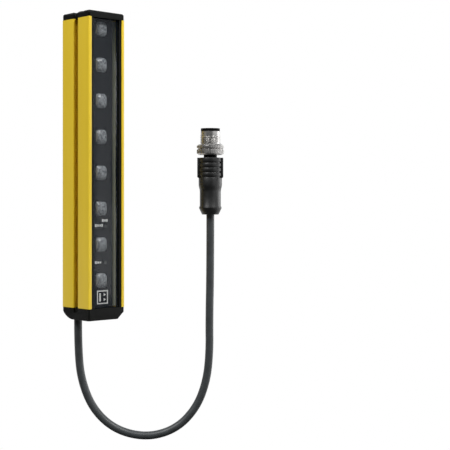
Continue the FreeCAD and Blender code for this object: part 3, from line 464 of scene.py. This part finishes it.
def domedLens():
    # a turned lens with a domed front and fine rings, cut square and sloped on two sides
    front, back = span("lens_1", 1)
    radius, ball = lens["round"] / 2, lens["ball"]
    thick = back - front
    outline = [(0, 0), (radius, 0)]
    for step in range(lens["domeSteps"]):
        across = radius * math.cos(step / lens["domeSteps"] * math.pi / 2)
        ripple = lens["ringDepth"] * math.sin(math.pi * lens["rings"] * across / radius) ** 2
        outline.append((across, thick - ball + math.sqrt(ball ** 2 - across ** 2) - ripple))
    outline.append((0, thick))
    bm = turned(outline, lens["aroundSteps"])
    halfWide, halfHigh = lens["width"] / 2, lens["height"] / 2
    shoulder = thick - ball + math.sqrt(ball ** 2 - halfWide ** 2) - lens["slopeDrop"]
    for place, facing in (((-halfWide, 0, 0), (-1, 0, 0)), ((halfWide, 0, 0), (1, 0, 0)),
                          ((0, -halfHigh, 0), (0, -1, 0)), ((0, halfHigh, 0), (0, 1, 0)),
                          ((-halfWide, 0, shoulder), (-1, 0, lens["slope"])),
                          ((halfWide, 0, shoulder), (1, 0, lens["slope"]))):
        cut = bmesh.ops.bisect_plane(bm, geom=bm.verts[:] + bm.edges[:] + bm.faces[:], dist=0,
                                     plane_co=Vector(place) * mm, plane_no=facing, clear_outer=True)
        rim = [e for e in cut["geom_cut"] if isinstance(e, bmesh.types.BMEdge)]
        bmesh.ops.edgeloop_fill(bm, edges=rim, mat_nr=1)
    splitLargeFaces(bm)
    # from upright to looking out of the window, standing on its seat
    bmesh.ops.rotate(bm, verts=bm.verts, matrix=Matrix.Rotation(math.radians(90), 3, "X"))
    bmesh.ops.translate(bm, verts=bm.verts, vec=(0, back * mm, 0))
    return bm


beamCount = sum(name.startswith("lens_") and name != "lens_carrier" for name in nodes)
for beam in range(1, beamCount + 1):
    nodeName = f"lens_{beam}"
    bm = domedLens()
    bmesh.ops.translate(bm, verts=bm.verts, vec=(0, 0, sum(span(nodeName, 2)) / 2 * mm))
    piece = pieceFrom(bm, f"domed_lens_{beam}", "lens_plastic", (nodeName,), smoothBelow=30)
    # the cut sides take the pale finish with its painted highlight
    piece.data.materials.append(groundEdgeAndGlint)
print("lenses made")

# ---------- pale strip beside the lens carrier: painted light standing in for the lit channel wall
paleLitStripSizes = {"wide": 0.7, "end": 0.3, "edge": 0.03, "lip": 0.2, "lipThick": 0.1, "clear": 0.05,
              "sharpAbove": 25}


def paleLitStrip():
    # a three-cornered strip right of the lenses, with a thin lip over the channel wall
    bm = bmesh.new()
    right = span("lens_carrier", 0)[1]
    back = span("lens_carrier", 1)[0] - paleLitStripSizes["clear"]
    wallTop = span("window_strip_right", 1)[1] - paleLitStripSizes["clear"]
    lipEnd, lipFront = right + paleLitStripSizes["lip"], wallTop - paleLitStripSizes["lipThick"]
    low, high = span("lens_carrier", 2)
    corners = [(right, wallTop), (right, back), (right - paleLitStripSizes["wide"], back), (right, lipFront),
               (lipEnd, lipFront), (lipEnd, wallTop)]
    foot = low + paleLitStripSizes["end"]
    base = bm.faces.new([bm.verts.new((x * mm, y * mm, foot * mm)) for x, y in corners])
    grown = bmesh.ops.extrude_face_region(bm, geom=[base])["geom"]
    bmesh.ops.translate(bm, verts=[v for v in grown if isinstance(v, bmesh.types.BMVert)],
                        vec=(0, 0, (high - low - 2 * paleLitStripSizes["end"]) * mm))
    roundEdges(bm, paleLitStripSizes["edge"], sharpEdges(bm, paleLitStripSizes["sharpAbove"]))
    # the strip takes the finish with the painted light
    pieceFrom(bm, "pale_lit_strip", "light_guide", smoothBelow=50).data.materials[0] = stripPaintedLightFinish


paleLitStrip()

# ---------- printed marks behind the window
marks = {
    "thick": 0.04, "line": 0.72,
    # left end and middle height of each word, then its blocks' widths and heights
    "words": [((-6.3, -34.7), [(1.3, 1.7), (1.1, 1.2), (1.1, 1.2), (1.0, 1.7)]),
              ((-1.2, -31.8), [(1.2, 1.6), (1.1, 1.2), (1.0, 1.6)]),
              ((-6.3, -56.2), [(1.3, 1.6), (1.5, 1.1), (0.9, 1.1)])],
    "blockGap": 0.4,
    "frame": {"centre": (-0.8, -76.5), "size": 8.0},
    # from the frame's middle: the bar's place, width and height, then the arrows' places
    "bar": (-1.8, 1.15, 4.8), "arrows": [(1.4, 1.4), (1.4, -1.4)], "arrowRadius": 1.02,
}


def printedMarks():
    # flat white printing on the back of the window: blocks for small words, and a bar and arrows in a frame
    bm = bmesh.new()
    y = span("front_window", 1)[1] + marks["thick"] / 2
    for (x, z), blocks in marks["words"]:
        for wide, high in blocks:
            addBlock(bm, (x + wide / 2, y, z), (wide, marks["thick"], high))
            x += wide + marks["blockGap"]
    line, thick = marks["line"], marks["thick"]
    frameX, frameZ = marks["frame"]["centre"]
    half = (marks["frame"]["size"] - line) / 2
    for side in (-1, 1):
        addBlock(bm, (frameX + side * half, y, frameZ), (line, thick, 2 * half + line))
        addBlock(bm, (frameX, y, frameZ + side * half), (2 * half - line, thick, line))
    barX, barWide, barHigh = marks["bar"]
    addBlock(bm, (frameX + barX, y, frameZ), (barWide, thick, barHigh))
    radius = marks["arrowRadius"] * mm
    for x, z in marks["arrows"]:
        made = bmesh.ops.create_cone(bm, cap_ends=True, segments=3, radius1=radius, radius2=radius,
                                     depth=thick * mm)["verts"]
        bmesh.ops.rotate(bm, verts=made, matrix=Matrix.Rotation(math.radians(90), 3, "X"))
        bmesh.ops.rotate(bm, verts=made, matrix=Matrix.Rotation(math.radians(90), 3, "Y"))
        bmesh.ops.translate(bm, verts=made, vec=Vector((frameX + x, y, frameZ + z)) * mm)
    pieceFrom(bm, "printed_marks", "light_guide").data.materials[0] = markInk


printedMarks()
print("guide strip and marks made")

# ---------- plug overmould
plugX = sum(span("coupling_nut", 0)) / 2
plugY = sum(span("coupling_nut", 1)) / 2
overmould = {
    "reliefTip": 9.7, "relief": 13.3, "reliefHeight": 4.2, "reliefEdge": 0.5, "reliefStep": 0.9,
    "shaft": 12.4, "shaftHeight": 9.2, "shoulder": 13.8, "taper": 4.4, "shoulderHeight": 7.4,
    "ringCount": 4, "ringPitch": 2.8, "ringCut": 0.5, "ringHeight": 1.0, "ringInset": 0.8, "ringDraft": 0.1,
    "gripWidth": 15.3, "rib": 1.7, "gripDepth": 5.0, "ribSlope": 0.7, "neck": 7.9, "socket": 4.0,
    "edge": 0.12, "sharpAbove": 32, "ribEdge": 0.22, "taperSteps": 10, "aroundSteps": 96,
}


def standOnPlugAxis(bm):
    bmesh.ops.rotate(bm, verts=bm.verts, matrix=Matrix.Rotation(math.radians(lead["planeAngle"]), 3, "Z"))
    bmesh.ops.translate(bm, verts=bm.verts, vec=(plugX * mm, plugY * mm, 0))


def plugOvermould():
    # bend relief, shaft, swelling shoulder and a grip with ring grooves between two side ribs
    o = overmould
    bottom, top = span("plug_body", 2)
    reliefTop = bottom + o["reliefHeight"]
    shaftTop = reliefTop + o["shaftHeight"]
    shoulderTop = shaftTop + o["shoulderHeight"]
    outline = [(0, bottom), (o["reliefTip"] / 2, bottom), (o["relief"] / 2, reliefTop - o["reliefEdge"]),
               (o["relief"] / 2, reliefTop), (o["shaft"] / 2, reliefTop + o["reliefStep"])]
    swell = (o["shoulder"] - o["shaft"]) / 2
    steps = o["taperSteps"]
    for step in range(steps + 1):
        share = (1 - math.cos(math.pi * step / steps)) / 2
        outline.append((o["shaft"] / 2 + swell * share, shaftTop + o["taper"] * step / steps))
    for ring in range(o["ringCount"]):
        low = shoulderTop + o["ringInset"] + ring * o["ringPitch"]
        high = low + o["ringHeight"]
        deep = o["shoulder"] / 2 - o["ringCut"]
        outline += [(o["shoulder"] / 2, low), (deep, low + o["ringDraft"]), (deep, high - o["ringDraft"]),
                    (o["shoulder"] / 2, high)]
    outline += [(o["shoulder"] / 2, top), (o["neck"] / 2, top), (o["neck"] / 2, top - o["socket"]),
                (0, top - o["socket"])]
    bm = turned(outline, o["aroundSteps"])
    roundEdges(bm, o["edge"], sharpEdges(bm, o["sharpAbove"]))
    for side in (-1, 1):
        ribX, ribZ = side * (o["gripWidth"] - o["rib"]) / 2, (top + shoulderTop) / 2
        rib = addBlock(bm, (ribX, 0, ribZ), (o["rib"], o["gripDepth"], top - shoulderTop))
        # the outer foot is higher than the inner one
        foot = [v for v in rib if side * v.co.x > side * ribX * mm and v.co.z < ribZ * mm]
        bmesh.ops.translate(bm, verts=foot, vec=(0, 0, o["rib"] * o["ribSlope"] * mm))
        roundEdges(bm, o["ribEdge"], list({e for v in rib for e in v.link_edges}))
    standOnPlugAxis(bm)
    pieceFrom(bm, "plug_overmould", "plug_overmould", ("plug_body",))


plugOvermould()

# ---------- coupling nut with its knurl and thread
nut = {
    "bore": 7.9, "barrelBore": 9.9, "floor": 1.25, "bevel": 0.8, "height": 6.2, "groove": 0.5,
    "grooveRise": 3.6, "knurls": 36, "facesPerKnurl": 4, "knurlDepth": 0.3, "knurlInset": 0.12,
    "knurlEdge": 0.1, "sharpAbove": 40, "rimSlack": 0.05, "collar": 11.4, "collarRise": 0.3,
    "thread": 12.0, "root": 11.4, "threadLength": 5.6, "pitch": 1.0,
    # how deep the ridge is sunk in the root, heights of its four corners in one turn, and its steps a turn
    "threadSink": 0.1, "threadCorners": (0.15, 0.36, 0.64, 0.85), "threadSteps": 64,
}


def raiseKnurls(bm, radius):
    # pushes out every other pair of the grip's faces and breaks their level edges
    n = nut
    around = n["knurls"] * n["facesPerKnurl"]
    rim = (radius - n["rimSlack"]) * mm
    ridge = []
    for face in bm.faces:
        centre = face.calc_center_median()
        upright = abs(face.normal.z) < 0.1
        if upright and centre.xy.length > rim:
            place = int((math.atan2(centre.y, centre.x) % (2 * math.pi)) / (2 * math.pi) * around)
            if place % n["facesPerKnurl"] < n["facesPerKnurl"] / 2:
                ridge.append(face)
    bmesh.ops.inset_region(bm, faces=ridge, thickness=n["knurlInset"] * mm, depth=-n["knurlDepth"] * mm,
                           use_even_offset=True, use_boundary=True)
    levelEdges = [e for e in sharpEdges(bm, n["sharpAbove"])
                  if abs(e.verts[0].co.z - e.verts[1].co.z) < 1e-6 and e.verts[0].co.xy.length > rim]
    roundEdges(bm, n["knurlEdge"], levelEdges, segments=1)


def windThread(bm, bodyTop):
    # one ridge spun and raised about the axis, a pitch a turn
    n = nut
    turns = n["threadLength"] / n["pitch"] - 1
    steps = int(turns * n["threadSteps"])
    spans = (n["root"] - n["threadSink"], n["thread"], n["thread"], n["root"] - n["threadSink"])
    corners = [bm.verts.new((across / 2 * mm, 0, (bodyTop + rise) * mm))
               for across, rise in zip(spans, n["threadCorners"])]
    for pair in zip(corners, corners[1:] + corners[:1]):
        bm.edges.new(pair)
    bmesh.ops.contextual_create(bm, geom=corners)
    startFace = [f for f in bm.faces if set(f.verts) == set(corners)]
    bmesh.ops.spin(bm, geom=startFace, cent=(0, 0, 0), axis=(0, 0, 1), angle=2 * math.pi * turns,
                   steps=steps, dvec=(0, 0, turns * n["pitch"] * mm / steps), use_duplicate=False)


def couplingNut():
    # a turned nut, its grip raised into straight knurls, and a true helical thread above it
    n = nut
    bottom, top = span("coupling_nut", 2)
    radius = (span("coupling_nut", 0)[1] - span("coupling_nut", 0)[0]) / 2 - n["knurlDepth"]
    bodyTop = bottom + n["height"]
    threadTop = bodyTop + n["threadLength"]
    grooveZ = bottom + n["grooveRise"]
    outline = [
        (n["bore"] / 2, bottom), (radius - n["bevel"], bottom), (radius, bottom + n["bevel"]),
        (radius, grooveZ - n["groove"]), (radius - n["groove"], grooveZ), (radius, grooveZ + n["groove"]),
        (radius, bodyTop - n["bevel"]), (radius - n["bevel"], bodyTop), (n["root"] / 2, bodyTop),
        (n["root"] / 2, threadTop), (n["collar"] / 2, threadTop + n["collarRise"]), (n["collar"] / 2, top),
        (n["barrelBore"] / 2, top), (n["barrelBore"] / 2, bottom + n["floor"]),
        (n["bore"] / 2, bottom + n["floor"]),
    ]
    bm = turned(outline, n["knurls"] * n["facesPerKnurl"], closed=True)
    raiseKnurls(bm, radius)
    windThread(bm, bodyTop)
    standOnPlugAxis(bm)
    pieceFrom(bm, "threaded_nut", "nickel_brass", ("coupling_nut",), body=nutBody, smoothBelow=30)


couplingNut()
print("plug made")

# ---------- stage and light
stageSizes = {"floor": -176, "left": -1200, "right": 1700, "front": 20, "back": 1000, "height": 1400,
              "bend": 300, "bendSteps": 16}
# azimuth, distance, width, foot and top in millimetres, glow at the top and at the foot
cards = {
    "softCard": (6, 1000, 500, -420, 420, 0.8, 0.8),
    "frontCard": (38, 1000, 560, -420, 420, 0.2, 1.75),
    "rightCard": (69, 1100, 760, -420, 420, 3.5, 3.5),
    "rearLeftCard": (-125, 1000, 500, -300, 300, 0.4, 0.4),
}
# azimuth, elevation, distance, width and height in millimetres, power in watts
softBoxes = {
    "keyBox": (8, 48, 1200, 400, 400, 13),
    "topBox": (-45, 58, 1200, 400, 400, 3),
    "leftBox": (-84, 44, 2000, 500, 670, 34),
}
paperGlow, roomGlow = 1.0, 0.1


def stageMaterial(name, strength, lowStrength=None, highZ=None, lowZ=None):
    # a plain glowing white; with two strengths it fades between two heights
    material = bpy.data.materials.new(name)
    material.use_nodes = True
    tree = material.node_tree
    shader = tree.nodes["Principled BSDF"]
    shader.inputs["Base Color"].default_value = (0, 0, 0, 1)
    shader.inputs["Specular IOR Level"].default_value = 0
    shader.inputs["Roughness"].default_value = 1
    shader.inputs["Emission Color"].default_value = (1, 1, 1, 1)
    shader.inputs["Emission Strength"].default_value = strength
    if lowStrength is not None:
        place = addNode(tree, "ShaderNodeTexCoord").outputs["Object"]
        height = addNode(tree, "ShaderNodeSeparateXYZ", None, {"Vector": place}).outputs["Z"]
        fade = addNode(tree, "ShaderNodeMapRange", {
            "From Min": lowZ * mm, "From Max": highZ * mm, "To Min": lowStrength, "To Max": strength},
            {"Value": height})
        tree.links.new(fade.outputs["Result"], shader.inputs["Emission Strength"])
    return material


def stagePiece(bm, name, material):
    mesh = bpy.data.meshes.new(name)
    bm.to_mesh(mesh)
    bm.free()
    mesh.shade_smooth()
    mesh.materials.append(material)
    piece = bpy.data.objects.new(name, mesh)
    bpy.context.scene.collection.objects.link(piece)


def studioSweep():
    # a floor that bends up into a back wall, square to the camera
    bm = bmesh.new()
    s = stageSizes
    rise = [(s["front"], s["floor"]), (s["back"], s["floor"]), (s["back"], s["floor"] + s["height"])]
    corners = [bm.verts.new((s["left"] * mm, y * mm, z * mm)) for y, z in rise]
    for pair in zip(corners, corners[1:]):
        bm.edges.new(pair)
    bmesh.ops.bevel(bm, geom=[corners[1]], offset=s["bend"] * mm, offset_type="OFFSET",
                    segments=s["bendSteps"], profile=0.5, affect="VERTICES", material=-1)
    grown = bmesh.ops.extrude_edge_only(bm, edges=bm.edges[:])["geom"]
    bmesh.ops.translate(bm, verts=[v for v in grown if isinstance(v, bmesh.types.BMVert)],
                        vec=((s["right"] - s["left"]) * mm, 0, 0))
    bmesh.ops.rotate(bm, verts=bm.verts, matrix=Matrix.Rotation(math.radians(camera["turn"]), 3, "Z"))
    stagePiece(bm, "studioSweep", stageMaterial("studioPaper", paperGlow))


def towards(azimuth, elevation):
    # a direction from the bar; azimuth 0 is out of the window and grows to the right
    a, e = math.radians(azimuth), math.radians(elevation)
    return Vector((math.sin(a) * math.cos(e), -math.cos(a) * math.cos(e), math.sin(e)))


def addCard(name, azimuth, distance, width, lowZ, highZ, strength, lowStrength):
    # an upright glowing card that faces the bar
    bm = bmesh.new()
    bmesh.ops.create_grid(bm, x_segments=1, y_segments=1, size=0.5)
    bmesh.ops.scale(bm, verts=bm.verts, vec=(width * mm, (highZ - lowZ) * mm, 1))
    bmesh.ops.rotate(bm, verts=bm.verts, matrix=Matrix.Rotation(math.radians(90), 3, "X"))
    bmesh.ops.rotate(bm, verts=bm.verts, matrix=Matrix.Rotation(math.radians(azimuth), 3, "Z"))
    bmesh.ops.translate(bm, verts=bm.verts,
                        vec=towards(azimuth, 0) * distance * mm + Vector((0, 0, (lowZ + highZ) / 2 * mm)))
    stagePiece(bm, name, stageMaterial(name + "Glow", strength, lowStrength, highZ, lowZ))


def addLight(name, azimuth, elevation, distance, width, height, power):
    # a soft box that faces the bar
    data = bpy.data.lights.new(name, "AREA")
    data.shape = "RECTANGLE"
    data.size = width * mm
    data.size_y = height * mm
    data.energy = power
    lamp = bpy.data.objects.new(name, data)
    out = towards(azimuth, elevation)
    lamp.location = out * distance * mm
    lamp.rotation_euler = out.to_track_quat("Z", "Y").to_euler()
    bpy.context.scene.collection.objects.link(lamp)


studioSweep()
for cardName, settings in cards.items():
    addCard(cardName, *settings)
world = bpy.data.worlds.new("studio")
world.use_nodes = True
world.node_tree.nodes["Background"].inputs["Color"].default_value = (1, 1, 1, 1)
world.node_tree.nodes["Background"].inputs["Strength"].default_value = roomGlow
bpy.context.scene.world = world
for lightName, settings in softBoxes.items():
    addLight(lightName, *settings)
bpy.context.scene.view_settings.view_transform = "Standard"
print("stage and light made")
